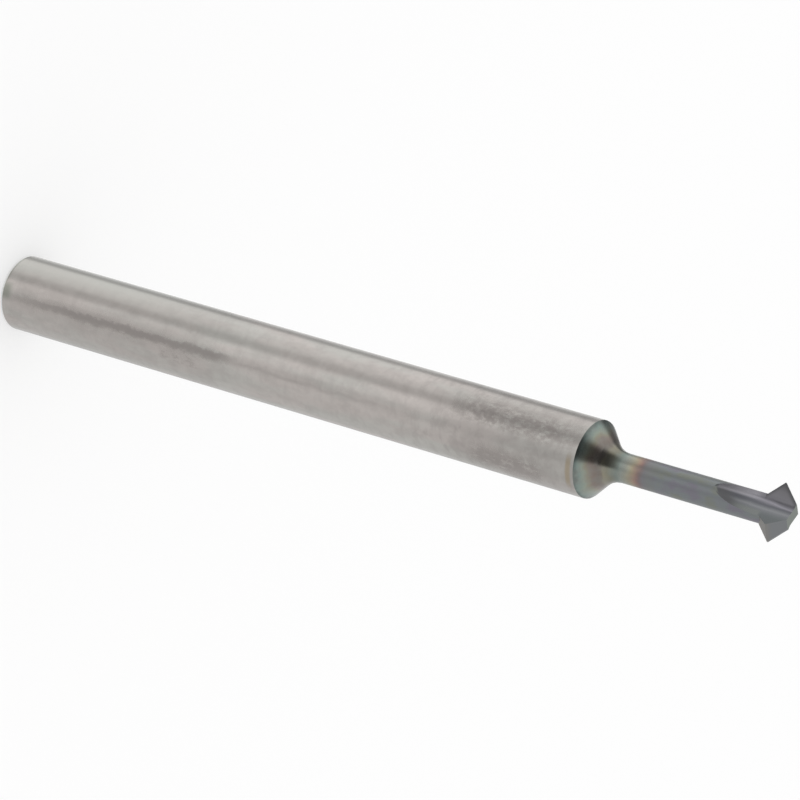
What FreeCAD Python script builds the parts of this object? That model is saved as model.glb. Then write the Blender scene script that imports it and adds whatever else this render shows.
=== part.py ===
import FreeCAD, Part
import math
import os
from FreeCAD import Vector

# A double-angle cutter: a round carbide shank, a thin neck and a small V-shaped cutting head.
# The tool stands on the flat end of its shank, its axis is +Z and the head is on top.
# The origin is the centre of the flat end. Sizes are in millimetres and degrees.

# The rod, from the bottom to the top.
overall_length = 38.1
shank_diameter = 3.175
shank_length = 29.1
shank_chamfer = 0.1
shoulder_angle = 45.0
neck_diameter = 1.19
neck_fillet = 1.1

# The head. Each side of the V leans from the axis by its own angle.
cutter_diameter = 2.381
rear_flank_angle = 45.0
front_flank_angle = 45.0
end_diameter = 1.0
tooth_count = 2

# Each tooth, seen along the axis. Behind its edge the land falls away in two flat steps.
land_angle = 35.0
primary_relief = 10.0
primary_width = 0.09
secondary_relief = 46.0

# The flutes between the teeth. The web between them is thinnest at the end of the tool and
# grows towards the neck by the taper. Just behind the head the wheel that cuts them begins to
# leave the neck in an arc, lifted at the lean, an angle measured from the rake face.
web_thickness = 0.42
web_taper = 1.5
flute_fillet = 0.35
full_depth_behind_head = 0.15
run_out_radius = 4.0
run_out_lean = 101.0

# Lines up the pieces above. The margin only makes the cutting shapes longer than the work.
margin = 1.0
shank_radius = shank_diameter / 2
neck_radius = neck_diameter / 2
tip_radius = cutter_diameter / 2
end_radius = end_diameter / 2
rear_slope = math.tan(math.radians(rear_flank_angle))
front_slope = math.tan(math.radians(front_flank_angle))
tip_height = overall_length - (tip_radius - end_radius) / front_slope
head_base = tip_height - (tip_radius - neck_radius) / rear_slope
run_out_start = head_base - full_depth_behind_head
tooth_pitch = 360.0 / tooth_count
flute_angle = tooth_pitch - land_angle


def at_angle(length, degrees):
    """A flat vector of this length, turned from the X axis."""
    turn = math.radians(degrees)
    return Vector(length * math.cos(turn), length * math.sin(turn), 0)


def turned(points, bends):
    """Revolves an outline of X and Z points; bends name the lines that are arcs, by their middle."""
    corners = [Vector(x, 0, z) for x, z in points]
    edges = []
    for index, start in enumerate(corners):
        end = corners[(index + 1) % len(corners)]
        if index in bends:
            x, z = bends[index]
            edges.append(Part.Arc(start, Vector(x, 0, z), end).toShape())
        else:
            edges.append(Part.makeLine(start, end))
    face = Part.Face(Part.Wire(edges))
    return face.revolve(Vector(0, 0, 0), Vector(0, 0, 1), 360)


def rod():
    """The whole tool before the flutes are ground: shank, shoulder, neck and double cone."""
    lean = math.radians(shoulder_angle)
    shoulder_end = shank_length + (shank_radius - neck_radius) / math.tan(lean)
    tangent = neck_fillet * math.tan(lean / 2)
    fillet_centre = (neck_radius + neck_fillet, shoulder_end + tangent)
    outline = [
        (0, 0),
        (shank_radius - shank_chamfer, 0),
        (shank_radius, shank_chamfer),
        (shank_radius, shank_length),
        (neck_radius + tangent * math.sin(lean), shoulder_end - tangent * math.cos(lean)),
        (neck_radius, shoulder_end + tangent),
        (neck_radius, head_base),
        (tip_radius, tip_height),
        (end_radius, overall_length),
        (0, overall_length),
    ]
    middle = (
        fillet_centre[0] - neck_fillet * math.cos(lean / 2),
        fillet_centre[1] - neck_fillet * math.sin(lean / 2),
    )
    return turned(outline, {4: middle})


def clearance():
    """What is ground away behind one cutting edge, so that only the edge touches the work."""
    height = tip_radius + margin
    spread = overall_length - head_base + margin
    first_step = Vector(-math.tan(math.radians(primary_relief)), -1, 0)
    second_step = Vector(-math.tan(math.radians(secondary_relief)), -1, 0)
    block = Part.makeBox(height, height + margin, 2 * spread, Vector(0, -height, tip_height - spread))
    rear = Vector(tip_radius - spread * rear_slope, 0, tip_height - spread)
    front = Vector(tip_radius - spread * front_slope, 0, tip_height + spread)
    tip = Vector(tip_radius, 0, tip_height)
    back = Vector(-height, 0, 0)
    profile = Part.makePolygon([tip, rear, rear + back, front + back, front, tip])
    profile.translate(first_step * -margin)
    first = Part.Face(profile).extrude(first_step * (margin + primary_width))
    profile.translate(first_step * (margin + primary_width))
    second = Part.Face(profile).extrude(second_step * height)
    neck = Part.makeCylinder(neck_radius, spread, Vector(0, 0, tip_height - spread))
    return block.cut(first.fuse([second, neck]))


def flute():
    """What is ground away in front of one cutting edge: a groove that runs out on the neck."""
    reach = tip_radius + margin
    turn = 180.0 - flute_angle
    corner = Vector(web_thickness / 2 / math.sin(math.radians(flute_angle)), 0, 0)
    tangent = flute_fillet * math.tan(math.radians(turn) / 2)
    start = corner + Vector(tangent, 0, 0)
    end = corner + at_angle(tangent, flute_angle)
    centre = start + Vector(0, flute_fillet, 0)
    middle = centre + at_angle(flute_fillet, 270.0 - turn / 2)
    rake_end = Vector(reach, 0, 0)
    wall_end = corner + at_angle(reach + corner.x, flute_angle)
    lift = at_angle(1, run_out_lean)
    level = 0.9 * run_out_radius
    wall_top = wall_end + lift * (level - (wall_end - corner).dot(lift))
    rake_top = rake_end + lift * (level - (rake_end - corner).dot(lift))
    profile = Part.Wire([
        Part.makeLine(rake_end, start),
        Part.Arc(start, middle, end).toShape(),
        Part.makeLine(end, wall_end),
        Part.makeLine(wall_end, wall_top),
        Part.makeLine(wall_top, rake_top),
        Part.makeLine(rake_top, rake_end),
    ])
    profile.translate(Vector(0, 0, run_out_start))
    # The face runs straight out past the end of the tool and swings out of the neck below.
    face = Part.Face(profile)
    straight = face.extrude(Vector(0, 0, overall_length - run_out_start + margin))
    wheel_centre = corner + lift * run_out_radius + Vector(0, 0, run_out_start)
    wheel_axis = at_angle(1, run_out_lean - 90)
    run_out = face.revolve(wheel_centre, wheel_axis, 60)
    groove = straight.fuse(run_out).removeSplitter()
    groove.rotate(corner + Vector(0, 0, overall_length), Vector(0, 1, 0), -web_taper)
    return groove


cutter = rod()
for ground_away in (flute(), clearance()):
    tools = []
    for tooth in range(tooth_count):
        tool = ground_away.copy()
        tool.rotate(Vector(0, 0, 0), Vector(0, 0, 1), tooth * tooth_pitch)
        tools.append(tool)
    cutter = cutter.cut(tools)
cutter = cutter.removeSplitter()
if len(cutter.Solids) == 1:
    cutter = cutter.Solids[0]

os.makedirs("parts", exist_ok=True)
cutter.exportStep("parts/cutter.step")
print("cutter", cutter.ShapeType, cutter.isValid(), "volume", round(cutter.Volume, 3))
box = cutter.BoundBox
print("size", round(box.XLength, 3), round(box.YLength, 3), round(box.ZLength, 3))
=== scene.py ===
# %% [markdown]
# # A double-angle cutter
# A small milling cutter, ground from one rod of carbide: a bare grey shank, a thin neck and a
# V-shaped cutting head. The working end carries a thin dark coating. The shape comes finished
# from the CAD frame, so this lesson gives it what a photograph would show: a camera, a light
# tent and a finish. It starts by loading the frame, in metres, and keeps the size it came with.

# %% Load the frame
import math
import bpy
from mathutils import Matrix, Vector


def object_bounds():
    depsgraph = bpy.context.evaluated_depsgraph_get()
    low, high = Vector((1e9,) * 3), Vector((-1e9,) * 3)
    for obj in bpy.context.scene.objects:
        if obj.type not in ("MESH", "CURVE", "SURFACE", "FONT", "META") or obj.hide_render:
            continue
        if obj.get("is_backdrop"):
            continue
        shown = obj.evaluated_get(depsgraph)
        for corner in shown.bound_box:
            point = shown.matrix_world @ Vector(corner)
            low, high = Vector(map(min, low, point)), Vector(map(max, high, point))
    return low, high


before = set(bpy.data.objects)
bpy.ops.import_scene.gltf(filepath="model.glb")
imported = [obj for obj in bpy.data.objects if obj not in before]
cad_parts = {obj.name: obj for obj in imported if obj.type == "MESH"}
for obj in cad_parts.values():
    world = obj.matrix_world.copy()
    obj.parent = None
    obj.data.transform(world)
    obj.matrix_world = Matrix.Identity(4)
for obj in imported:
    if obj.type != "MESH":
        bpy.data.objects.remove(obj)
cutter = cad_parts["cutter"]
cad_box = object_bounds()
MM = 0.001
print("cutter", [round(side / MM, 3) for side in cad_box[1] - cad_box[0]], "mm")

# %% [markdown]
# ## The camera
# The tool stands on the end of its shank, and the photograph looks down on it with the head
# towards the lens. A long lens about 20 cm away keeps the shank's sides almost parallel.
# The angles were found by laying the outline of the model over the outline in the photograph,
# which is surer than turning the camera by eye.

# %% Set up the camera
CAMERA_PLACE = (-4.060 * MM, 157.857 * MM, 121.391 * MM)
CAMERA_TURN = (-23.529, -53.789, -60.143)
LENS = 211.19
SENSOR_WIDTH = 36.0
NEAREST, FARTHEST = 1 * MM, 10.0

camera_data = bpy.data.cameras.new("camera")
camera_data.lens = LENS
camera_data.sensor_width = SENSOR_WIDTH
camera_data.clip_start = NEAREST
camera_data.clip_end = FARTHEST
camera = bpy.data.objects.new("camera", camera_data)
camera.location = CAMERA_PLACE
camera.rotation_euler = [math.radians(angle) for angle in CAMERA_TURN]
bpy.context.scene.collection.objects.link(camera)
bpy.context.scene.camera = camera
print("camera", round(camera.location.length / MM), "mm from the tool, lens", LENS, "mm")

# %% [markdown]
# ## Shader maths as plain expressions
# Every finish below is worked out from the place of a point on the tool. Wiring each sum by
# hand hides the idea, so one small class stands for a socket: arithmetic on it adds the Math
# nodes, and its method `node` adds any other kind. The soft steps are Map Range nodes with a
# smooth curve, because neither a stain nor a reflection has a hard edge.

# %% A socket that can be added and multiplied
class Wire:
    """One output of a node. Sums with it add Math nodes to the same tree."""

    def __init__(self, tree, socket=None):
        self.tree = tree
        self.socket = socket

    def node(self, kind, settings=None, inputs=None, output=0):
        """Adds a node: first its settings, then the values or wires of its sockets."""
        made = self.tree.nodes.new(kind)
        for name, value in (settings or {}).items():
            if name == "stops":
                set_stops(made.color_ramp, value)
            else:
                setattr(made, name, value)
        for name, value in (inputs or {}).items():
            if isinstance(value, Wire):
                self.tree.links.new(value.socket, made.inputs[name])
            else:
                made.inputs[name].default_value = value
        return Wire(self.tree, made.outputs[output] if made.outputs else None)

    def maths(self, operation, *values):
        """A Math node of these values."""
        return self.node("ShaderNodeMath", {"operation": operation}, dict(enumerate(values)))

    def __add__(self, other):
        return self.maths("ADD", self, other)

    __radd__ = __add__

    def __mul__(self, other):
        return self.maths("MULTIPLY", self, other)

    __rmul__ = __mul__

    def __sub__(self, other):
        return self.maths("SUBTRACT", self, other)

    def __rsub__(self, other):
        return self.maths("SUBTRACT", other, self)

    def ramp(self, low, high, start=0.0, end=1.0):
        """A soft step: start below low, end above high."""
        return self.node(
            "ShaderNodeMapRange",
            {"interpolation_type": "SMOOTHSTEP"},
            {"Value": self, "From Min": low, "From Max": high, "To Min": start, "To Max": end},
        )

    def fall(self, low, high):
        """A soft step down: 1 below low, 0 above high."""
        return self.ramp(low, high, 1.0, 0.0)

    def between(self, low, high, edge):
        """1 between two values and 0 outside, with soft edges."""
        return self.ramp(low - edge, low + edge) * self.fall(high - edge, high + edge)

    def colours(self, stops, interpolation="LINEAR"):
        """A colour ramp read at this value; a stop is its place and a colour or a grey."""
        return self.node(
            "ShaderNodeValToRGB", {"stops": (stops, interpolation)}, {"Fac": self}
        )

    def parts(self):
        """The X, Y and Z of this vector."""
        split = self.node("ShaderNodeSeparateXYZ", inputs={"Vector": self})
        return [Wire(self.tree, socket) for socket in split.socket.node.outputs]


# %% [markdown]
# ## Colours for the nodes
# A colour socket wants four linear numbers. A grey is easier to write as one number, and a
# coating's colour, which was tuned until the render came close to the photograph, is easier to
# write as a screen shows it. So two helpers turn these into what the sockets want. Two more
# fill a colour ramp and mix two colours.

# %% Helpers for colours
def rgba(colour):
    """A grey or a red, green and blue as the four numbers of a colour socket."""
    if isinstance(colour, (int, float)):
        colour = (colour, colour, colour)
    return (*colour, 1.0)


def screen(red, green, blue):
    """A colour as a screen shows it, 0 to 255, turned linear by the standard curve."""
    shares = [part / 255 for part in (red, green, blue)]
    return tuple(
        share / 12.92 if share <= 0.04045 else ((share + 0.055) / 1.055) ** 2.4
        for share in shares
    )


def set_stops(colour_ramp, recipe):
    """Fills a colour ramp from (place, colour) pairs."""
    stops, interpolation = recipe
    colour_ramp.interpolation = interpolation
    while len(colour_ramp.elements) < len(stops):
        colour_ramp.elements.new(0.5)
    for element, (place, colour) in zip(colour_ramp.elements, stops):
        element.position = place
        element.color = rgba(colour)


def blend(wire, factor, first, second):
    """Mixes two colours; each is a wire or a plain colour."""
    first, second = [c if isinstance(c, Wire) else rgba(c) for c in (first, second)]
    return wire.node(
        "ShaderNodeMix",
        {"data_type": "RGBA"},
        {0: factor, 6: first, 7: second},
        output=2,
    )


# %% [markdown]
# ## The light tent
# Polished metal shows its surroundings more than its own colour. Small tools are photographed
# in a white tent, and its panels and seams draw the long soft stripes on a round shank. A few
# lamps would leave hard spots, so the tent is the world itself. A ring of panels lies below the
# horizon, because that is what an upright rod mirrors when one looks down on it. Above it is a
# pale roof with one brighter side. Bearings are counted in degrees from the lens.

# %% Hang the panels and the roof
LENS_BEARING = 91.5
PANELS = [
    (-180, 1.07), (-160, 1.00), (-146, 0.80), (-136, 0.54), (-126, 0.58), (-116, 1.22),
    (-98, 1.26), (-80, 1.18), (-62, 1.10), (-46, 0.80), (-34, 0.78), (-22, 1.22),
    (-4, 1.14), (14, 0.88), (28, 0.84), (42, 0.96), (76, 0.90), (110, 0.90), (140, 0.84),
    (162, 0.78), (180, 0.90),
]
ROOF_LEVEL = 1.12
BRIGHT_SIDE = 1.32
BRIGHT_SIDE_EDGES = (-0.9, -0.2)
ROOF_STARTS = (-0.25, 0.1)


def on_ring(angle):
    """The place of a bearing on a ring that runs from 0 to 1, with the lens in the middle."""
    return 0.5 + angle / 360


world = bpy.data.worlds.new("tent")
world.use_nodes = True
world.node_tree.nodes.clear()
bpy.context.scene.world = world
tent = Wire(world.node_tree)
east, north, up = tent.node("ShaderNodeTexCoord").parts()
turn = math.radians(LENS_BEARING)
ahead = east * math.cos(turn) + north * math.sin(turn)
aside = north * math.cos(turn) - east * math.sin(turn)
bearing = tent.maths("ARCTAN2", aside, ahead) * (0.5 / math.pi) + 0.5
ring = bearing.colours([(on_ring(angle), level) for angle, level in PANELS], "EASE")
roof = aside.ramp(*BRIGHT_SIDE_EDGES, BRIGHT_SIDE, ROOF_LEVEL)
inside = blend(tent, up.ramp(*ROOF_STARTS), ring, roof)
print("tent with", len(PANELS), "stops in its ring")

# %% [markdown]
# ## The dark doorway
# The tent is open towards the lens. The cone between the shank and the neck looks up at that
# tall dark doorway and mirrors it as an almost black wedge. A low gap at the back gives the
# cone its dark outer edge. Both are only darker fields in the same world, with soft borders.
# The camera itself and the light on the floor see plain white, so the ground stays clean.

# %% Cut the doorway and the gap
DOOR_LEFT = (-84.0, -50.0)
DOOR_RIGHT = (20.0, 32.0)
DOOR_SILL = (-0.30, -0.02)
DOOR_TOP = (0.93, 0.99)
DOOR_DARKENS = (0.0, 0.45)
DOOR_FOOT = 0.32
DOOR_LEVEL = 0.15
GAP = (-180.0, -126.0)
GAP_HEIGHTS = (-0.34, 0.27)
GAP_LEVEL = 0.30

door = bearing.ramp(*[on_ring(angle) for angle in DOOR_LEFT])
door = door * bearing.fall(*[on_ring(angle) for angle in DOOR_RIGHT])
door = door * up.ramp(*DOOR_SILL) * up.fall(*DOOR_TOP)
inside = blend(tent, door, inside, up.ramp(*DOOR_DARKENS, DOOR_FOOT, DOOR_LEVEL))
gap = bearing.between(*[on_ring(angle) for angle in GAP], 0.02)
gap = gap * up.between(*GAP_HEIGHTS, 0.10)
inside = blend(tent, gap, inside, GAP_LEVEL)
camera_ray = tent.node("ShaderNodeLightPath")
diffuse_ray = tent.node("ShaderNodeLightPath", output="Is Diffuse Ray")
shown = blend(tent, tent.maths("MAXIMUM", camera_ray, diffuse_ray), inside, 1.0)
glow = tent.node("ShaderNodeBackground", inputs={"Color": shown, "Strength": 1.0})
tent.node("ShaderNodeOutputWorld", inputs={"Surface": glow})
print("tent", len(world.node_tree.nodes), "nodes")

# %% [markdown]
# ## The floor
# The photograph has a plain white ground. The floor is a wide plate that the tool stands on.
# It keeps the soft shadow of the tent's light, and a glow for the camera alone lifts it to the
# white of the backdrop, so that no edge shows between the two.

# %% Lay the floor
FLOOR_SIZE = 4.0
FLOOR_GREY = 0.55
FLOOR_GLOW = 0.43

bpy.ops.object.select_all(action="DESELECT")
bpy.ops.mesh.primitive_plane_add(size=FLOOR_SIZE, location=(0, 0, 0))
floor = bpy.context.active_object
floor.name = "floor"
floor.visible_glossy = False
floor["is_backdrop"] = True

floor_material = bpy.data.materials.new("pale_floor")
floor_material.use_nodes = True
floor_material.node_tree.nodes.clear()
plate = Wire(floor_material.node_tree)
camera_ray = plate.node("ShaderNodeLightPath")
matt = plate.node("ShaderNodeBsdfDiffuse", inputs={"Color": rgba(FLOOR_GREY)})
lift = plate.node("ShaderNodeEmission", inputs={"Strength": camera_ray * FLOOR_GLOW})
both = plate.node("ShaderNodeAddShader", inputs={0: matt, 1: lift})
plate.node("ShaderNodeOutputMaterial", inputs={"Surface": both})
floor.data.materials.append(floor_material)
print("floor", FLOOR_SIZE, "m wide")

# %% [markdown]
# ## Places on the tool
# The finish changes along the tool and around it. Height runs in millimetres from the flat end
# of the shank, and the angle around the axis starts at the cutting edge on +X. Both come from
# Object coordinates, which stay with the metal whichever way the camera looks. Clouds, smudges
# and grinding marks are all noise, and most of it is stretched or squeezed along the tool.

# %% Read height and angle
carbide = bpy.data.materials.new("ground_carbide")
carbide.use_nodes = True
carbide.node_tree.nodes.clear()
metal = Wire(carbide.node_tree)
place = metal.node("ShaderNodeTexCoord", output=3)
place_mm = metal.node(
    "ShaderNodeVectorMath", {"operation": "SCALE"}, {0: place, "Scale": 1 / MM}
)
across, deep, height = place_mm.parts()
around = metal.maths("ARCTAN2", deep, across) * (180 / math.pi)


def stretched(scale, detail=2.0, roughness=0.5, offset=(0.0, 0.0, 0.0)):
    """Noise whose grain is stretched by a scale of its own along each axis, in 1/mm."""
    moved = metal.node(
        "ShaderNodeMapping", inputs={"Vector": place_mm, "Location": offset, "Scale": scale}
    )
    return metal.node(
        "ShaderNodeTexNoise",
        inputs={"Vector": moved, "Scale": 1.0, "Detail": detail, "Roughness": roughness},
    )


print("places in mm from", place.socket.name, "coordinates")

# %% [markdown]
# ## Bare ground carbide
# The shank is carbide as it left the grinding wheel, a warm silver grey. It isn't one flat
# tone: handling and coolant leave faint pink and green clouds. Both ends are painted darker
# than the middle, a painted shade for light that falls off towards them. Clouds of three
# sizes keep the grey from looking painted.

# %% Colour the shank
BARE = (0.455, 0.438, 0.415)
PINK = (0.480, 0.432, 0.408)
GREENISH = (0.440, 0.440, 0.410)
# The smudge grey darkens real smudges and also the painted shade at both ends.
SMUDGE_AND_SHADE = (0.275, 0.252, 0.240)

clouds = stretched((0.9, 0.9, 0.22), 3.0)
bare = blend(metal, clouds.ramp(0.38, 0.62), GREENISH, PINK)
bare = blend(metal, 0.5, bare, BARE)
fine_clouds = stretched((2.5, 2.5, 1.2), 4.0, 0.6, (3.0, 7.0, 1.0))
# Painted shade: both ends of the shank are mixed towards the smudge grey, for light that falls
# off there.
painted_end_shade = height.ramp(10.5, 12.5, 0.12, 0.0) + height.ramp(21.5, 25.0) * 0.26
bare = blend(metal, painted_end_shade + fine_clouds.ramp(0.35, 0.7) * 0.20, bare, SMUDGE_AND_SHADE)
mottle = stretched((1.5, 1.5, 2.4), 4.0, 0.6, (6.0, 4.0, 7.0))
mottled = mottle.ramp(0.42, 0.66) * height.ramp(19.0, 24.0, 0.14, 0.34)
bare = blend(metal, mottled, bare, SMUDGE_AND_SHADE)
print("shank", BARE)

# %% [markdown]
# ## Stains on the shank
# Here and there the shank is stained: a long dull stripe from the rear end, a few dark specks
# beside its tip, two smudged zones near the shoulder and a short tan mark at the shoulder. The
# rear rim and a spot just above it are a darker greenish grey. The rear part is also a little
# greener on one side. Each stain is a field between two heights and two angles. Noise bends the
# borders of the fields and breaks some of them into specks, so their ends are as ragged as those
# of real stains. Where two smudges meet the stronger one counts, so they never add up to a black
# spot.

# %% Stain the shank
TAN = (0.320, 0.270, 0.200)
REAR_GREEN = (0.215, 0.235, 0.195)
STAINS = [  # heights, angles, soft edges of both, strength, range of noise that makes specks
    ((0.8, 10.6), (80, 120), (0.8, 9.0), 0.22, None),
    ((1.8, 7.4), (88, 99), (1.2, 4.0), 0.36, None),
    ((8.4, 10.6), (108, 131), (0.5, 6.0), 0.50, (0.42, 0.64)),
    ((11.5, 19.0), (102, 107), (1.5, 2.5), 0.20, None),
    ((23.4, 28.8), (52, 88), (1.2, 14.0), 1.00, (0.34, 0.62)),
    ((24.2, 27.6), (118, 152), (0.6, 12.0), 0.75, (0.28, 0.55)),
]

bends = stretched((0.8, 0.8, 0.7), 3.0, 0.6, (9.0, 9.0, 2.0)) - 0.5
uneven_angle = around + bends * 16.0
specks = stretched((5.0, 5.0, 3.0), 5.0, 0.65, (11.0, 2.0, 5.0))
ragged_angle = uneven_angle + (specks - 0.5) * 16.0


def patch(heights, angles, soft_height, soft_angle):
    """A soft-edged field with an uneven border on the tool's round surface."""
    return height.between(*heights, soft_height) * uneven_angle.between(*angles, soft_angle)


stripe = ragged_angle.ramp(92.5, 98.5) * ragged_angle.fall(102.0, 115.0)
stripe = stripe * height.between(0.6, 12.1, 0.9)
stains = stripe * height.ramp(0.6, 4.2, 0.45, 0.85)
for heights, angles, soft_edges, strength, speckled in STAINS:
    stain = patch(heights, angles, *soft_edges) * strength
    if speckled:
        stain = stain * specks.ramp(*speckled)
    stains = metal.maths("MAXIMUM", stains, stain)

green_side = height.ramp(6.0, 12.0, 0.7, 0.0) * uneven_angle.between(-30, 62, 18.0)
bare = blend(metal, green_side, bare, GREENISH)
bare = blend(metal, stains, bare, SMUDGE_AND_SHADE)
# The rear rim and a spot just above it are mixed towards a darker greenish grey.
rear_rim_patch = patch((-1.0, 0.14), (10, 88), 0.08, 9.0) * 0.7
rear_spot_patch = patch((-1.0, 0.48), (84, 108), 0.2, 6.0) * 0.6
bare = blend(metal, metal.maths("MAXIMUM", rear_rim_patch, rear_spot_patch), bare, REAR_GREEN)
bare = blend(metal, patch((28.74, 28.96), (98, 143), 0.06, 11.0) * 0.85, bare, TAN)
print("shank with a stripe and", len(STAINS), "other stains")

# %% [markdown]
# ## The coloured edge of the coating
# A hard coating is laid on in a vacuum, and its fringe thins out over the cone and the start
# of the neck. There it is thin enough to show the colours of an oil film: teal at the rim of
# the shank, then tan and rose, green, yellow and red, and dark blue-grey where it is thick.
# One colour ramp along the height holds that row. Noise makes its bands wander, and a second
# noise fades them in places, because a real fringe is never an even ring.

# %% Colour the fringe of the coating
FRINGE = [
    (29.06, (104, 112, 108)), (29.13, (90, 99, 96)), (29.24, (118, 130, 125)),
    (29.38, (131, 138, 128)), (29.50, (129, 126, 113)), (29.62, (120, 111, 105)),
    (29.80, (110, 103, 98)), (29.88, (113, 107, 99)), (29.94, (127, 123, 109)),
    (30.12, (119, 118, 106)), (30.30, (119, 124, 115)), (30.50, (121, 132, 126)),
    (30.72, (141, 147, 140)), (30.95, (154, 153, 138)), (31.12, (158, 149, 128)),
    (31.28, (157, 136, 121)), (31.42, (142, 118, 112)), (31.54, (126, 113, 113)),
    (31.70, (122, 121, 124)), (32.00, (122, 125, 125)), (32.30, (121, 123, 125)),
]
FADED = screen(124, 124, 120)
FRINGE_WANDERS = 0.45


def banded(value, bands):
    """Colours read off a row of bands; a band is its place, in the value's unit, and a colour."""
    low, high = bands[0][0], bands[-1][0]
    stops = [((at - low) / (high - low), screen(*colour)) for at, colour in bands]
    return ((value - low) * (1 / (high - low))).colours(stops)


wander = stretched((1.6, 1.6, 0.8), 3.0, 0.55, (4.0, 1.0, 2.0)) - 0.5
fringe_height = height + wander * FRINGE_WANDERS
faded = stretched((3.0, 3.0, 2.0), 2.0, 0.5, (1.0, 9.0, 4.0)).ramp(0.35, 0.65)
fringe = blend(metal, faded * 0.35, banded(fringe_height, FRINGE), FADED)
print("fringe", len(FRINGE), "colours from", FRINGE[0][0], "to", FRINGE[-1][0], "mm")

# %% [markdown]
# ## The faces of the head
# The head is ground face by face, so each face has crisp borders and a finish of its own.
# They are told apart by height, by distance from the axis and by the direction in
# which they look, their normal: the round neck looks straight away from the axis, the flutes
# and the fronts of the teeth stand upright, and the lands behind the edges lean.

# %% Tell the faces apart
HEAD_START = 34.6
HEAD_BASE = 36.75
NECK_RADIUS = 0.595

face_x, face_y, face_z = metal.node("ShaderNodeNewGeometry", output="Normal").parts()
upright = metal.maths("ABSOLUTE", face_z).fall(0.25, 0.40)
radius = metal.maths("SQRT", across * across + deep * deep)
outward = (across * face_x + deep * face_y) * metal.maths("DIVIDE", 1.0, radius)
on_neck = outward.ramp(0.80, 0.90) * radius.ramp(NECK_RADIUS - 0.05, NECK_RADIUS - 0.02)
on_head = height.ramp(HEAD_START - 0.05, HEAD_START)
on_teeth = height.ramp(HEAD_BASE - 0.01, HEAD_BASE + 0.01)
land = on_teeth * (1 - upright)
flute = on_head * (1 - on_neck) * (1 - land)
print("ground faces above", HEAD_START, "mm, teeth above", HEAD_BASE, "mm")

# %% [markdown]
# ## Painted reflections along the flutes
# Each flute is painted in long bands, light and dark by turns: painted reflections and painted
# shade of the tent in its curved root. One colour ramp across the flute holds them, from its
# outer wall over the root to the flat front of the tooth. Its zero is next to the axis, on a
# line that leans with the taper of the web. The bands wander, and those beside the root lean
# away from it towards the neck. Where the flute ends on the neck it is painted dark, a painted
# shade, and it is dark along the cutting edges. The part next to the tooth's front that rises
# to the neck mirrors the dark doorway, so it is painted pale, a painted highlight against that.

# %% Colour the flutes
# Painted reflections and shade: the greys of the bands across a flute.
FLUTE_PAINTED_BANDS = [
    (-0.60, (98, 101, 102)), (-0.30, (100, 104, 105)), (-0.18, (107, 110, 112)),
    (-0.10, (115, 117, 120)), (-0.03, (127, 128, 131)), (0.03, (113, 115, 118)),
    (0.10, (96, 97, 102)), (0.14, (97, 98, 103)), (0.20, (119, 118, 124)),
    (0.27, (136, 134, 141)), (0.33, (120, 119, 125)), (0.40, (101, 100, 105)),
    (0.48, (107, 106, 110)), (0.60, (111, 110, 114)), (0.80, (107, 106, 109)),
    (0.98, (96, 95, 98)), (1.20, (80, 80, 82)),
]
GREENISH_WALL = screen(115, 118, 117)
# A painted shade for the flute's run-out on the neck.
RUN_OUT_PAINTED_SHADE = screen(97, 97, 99)
# A painted highlight that offsets the dark doorway mirrored near the neck.
PAINTED_HIGHLIGHT = screen(176, 174, 180)
RIM = screen(78, 78, 80)
OVERALL_LENGTH = 38.1
TIP_HEIGHT = 37.41
TIP_RADIUS = 1.19
WEB_TAPER = 0.0262
BAND_LEAN = 0.095
BAND_WANDERS = 0.10

in_flute = across * metal.maths("SIGN", face_y) - (OVERALL_LENGTH - height) * WEB_TAPER
lean = (height - 37.0) * in_flute.ramp(0.12, 0.24) * BAND_LEAN
uneven = (stretched((3.0, 3.0, 1.2), 3.0, 0.6, (5.0, 2.0, 9.0)) - 0.5) * BAND_WANDERS
# Painted reflections: the bands across the flute stand in for the tent mirrored in its curved
# root.
flute_colour_and_painted_light = banded(in_flute + lean + uneven, FLUTE_PAINTED_BANDS)
outer_wall = in_flute.fall(-0.20, -0.10) * height.fall(36.85, 37.0)
flute_colour_and_painted_light = blend(metal, outer_wall, flute_colour_and_painted_light, GREENISH_WALL)
# Painted shade: the flute is darkened where it runs out on the neck.
run_out_painted_shade = (height + in_flute.ramp(-0.10, 0.10, -0.28, 0.0)).fall(35.2, 35.75)
flute_colour_and_painted_light = blend(metal, run_out_painted_shade * 0.9, flute_colour_and_painted_light, RUN_OUT_PAINTED_SHADE)
# Painted highlight: the tooth's front that rises to the neck is painted pale against the dark
# doorway it mirrors.
risen_painted_highlight = height.fall(35.7, 37.0) * in_flute.ramp(0.16, 0.30)
flute_colour_and_painted_light = blend(metal, risen_painted_highlight * 0.8, flute_colour_and_painted_light, PAINTED_HIGHLIGHT)
to_flank = TIP_RADIUS - in_flute - metal.maths("ABSOLUTE", height - TIP_HEIGHT)
rim = on_teeth * to_flank.ramp(0.02, 0.26, 0.75, 0.0)
flute_colour_and_painted_light = blend(metal, rim, flute_colour_and_painted_light, RIM)
print("flute", len(FLUTE_PAINTED_BANDS), "bands")

# %% [markdown]
# ## The coated neck and head
# Where the coating is thick it is a dark blue-grey that turns violet or olive from place to
# place. The lands are a plain grey, a little warmer on their rear flank, and the flat end of
# the tool, which looks straight up, is a greenish grey. These tones are laid over each other,
# from the neck to the end, and the fringe and the bare shank close the row.

# %% Colour the neck and the head
SLATE = screen(122, 126, 128)
VIOLET = screen(121, 119, 127)
OLIVE = screen(122, 125, 119)
LAND = screen(115, 117, 119)
WARM_LAND = screen(122, 120, 116)
END = screen(119, 124, 119)
SHANK_END = 29.1

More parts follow.
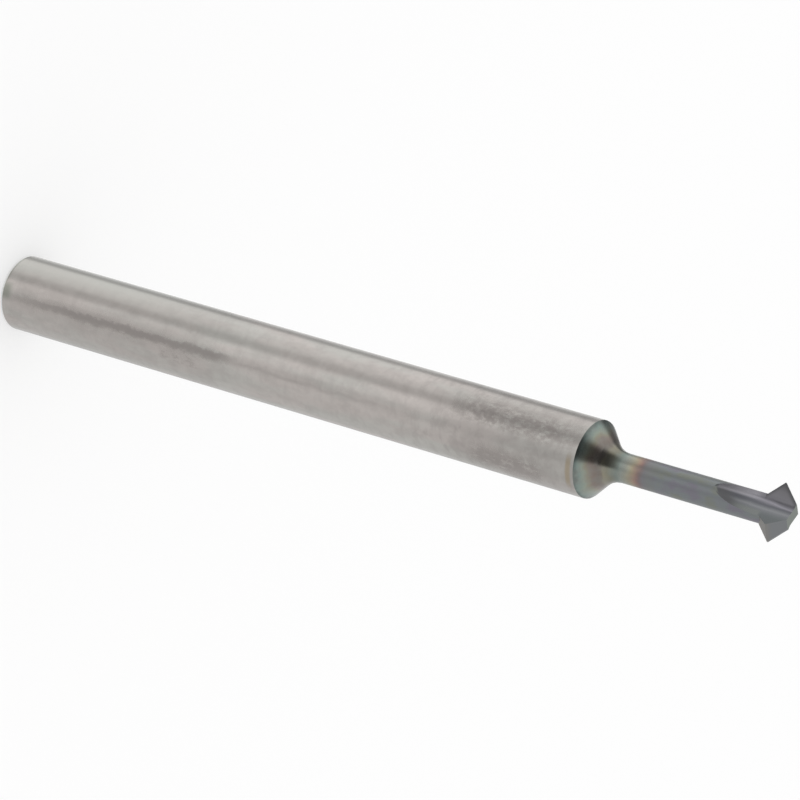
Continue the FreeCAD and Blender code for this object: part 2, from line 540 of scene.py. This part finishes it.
shades = stretched((1.8, 1.8, 0.9), 3.0, 0.5, (8.0, 3.0, 6.0))
coat = blend(metal, shades.ramp(0.38, 0.50), VIOLET, SLATE)
coat = blend(metal, shades.ramp(0.50, 0.66), coat, OLIVE)
coat = blend(metal, flute, coat, flute_colour_and_painted_light)
land_tone = blend(metal, height.ramp(TIP_HEIGHT - 0.1, TIP_HEIGHT + 0.25), WARM_LAND, LAND)
coat = blend(metal, land, coat, land_tone)
coat = blend(metal, face_z.ramp(0.92, 0.98), coat, END)
coat = blend(metal, fringe_height.ramp(31.9, 32.4), fringe, coat)
coated = height.ramp(SHANK_END - 0.01, SHANK_END + 0.01)
colour = blend(metal, coated, bare, coat)
print("coating above", SHANK_END, "mm")

# %% [markdown]
# ## Grinding marks
# The wheel leaves fine marks that run around the shank and along the flutes. They are finer
# than a pixel here, but they spread the reflections and break their edges. Noise that is
# squeezed along the axis makes rings, and noise drawn out along it makes streaks. Bump turns
# either into tiny ridges, and the same noise roughens the metal a little. The neck is rougher
# than the shank, and a flute is smooth except where it runs out.

# %% Scratch the surface
RIDGE_HEIGHT = 0.0012 * MM
SHANK_ROUGHNESS = 0.24
CONE_ROUGHNESS = 0.22
NECK_ROUGHNESS = 0.38
FLUTE_SMOOTHER = 0.14
RUN_OUT_ROUGHER = 0.22

rings = stretched((0.25, 0.25, 22.0), 3.0, 0.6)
streaks = stretched((16.0, 16.0, 0.5), 3.0, 0.6, (2.0, 5.0, 0.0))
marks = metal.node("ShaderNodeMix", inputs={0: flute, 2: rings, 3: streaks})
ridges = metal.node(
    "ShaderNodeBump", inputs={"Strength": 0.6, "Distance": RIDGE_HEIGHT, "Height": marks}
)
coat_roughness = height.ramp(30.2, 31.6, CONE_ROUGHNESS, NECK_ROUGHNESS)
smoother = FLUTE_SMOOTHER - height.ramp(35.6, 36.6, RUN_OUT_ROUGHER, 0.0)
coat_roughness = coat_roughness - flute * smoother
roughness = SHANK_ROUGHNESS + (coat_roughness - SHANK_ROUGHNESS) * coated
roughness = roughness + (marks - 0.5) * 0.10 + stains * 0.08
print("marks: rings around the rod, streaks along the flutes")

# %% [markdown]
# ## Put the finish on the tool
# Carbide and its coating are both metallic, so one shader serves: its colour tints what it
# mirrors. The node keeps its own mesh, and only its material is changed.

# %% Join the parts of the finish
skin = metal.node(
    "ShaderNodeBsdfPrincipled",
    inputs={"Base Color": colour, "Metallic": 1.0, "Roughness": roughness, "Normal": ridges},
)
metal.node("ShaderNodeOutputMaterial", inputs={"Surface": skin})
cutter.data.materials.clear()
cutter.data.materials.append(carbide)
print("finish", len(carbide.node_tree.nodes), "nodes")

# %% [markdown]
# ## The size and finish
# Nothing here may change the size of the tool, so the box it came with and the box it has now
# are printed side by side. The plain view transform shows colours as they are written.

# %% Print the sizes
bpy.context.scene.view_settings.view_transform = "Standard"
boxes = {"cad": cad_box, "visual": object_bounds()}
boxes = {name: [list(corner) for corner in box] for name, box in boxes.items()}
print(boxes)
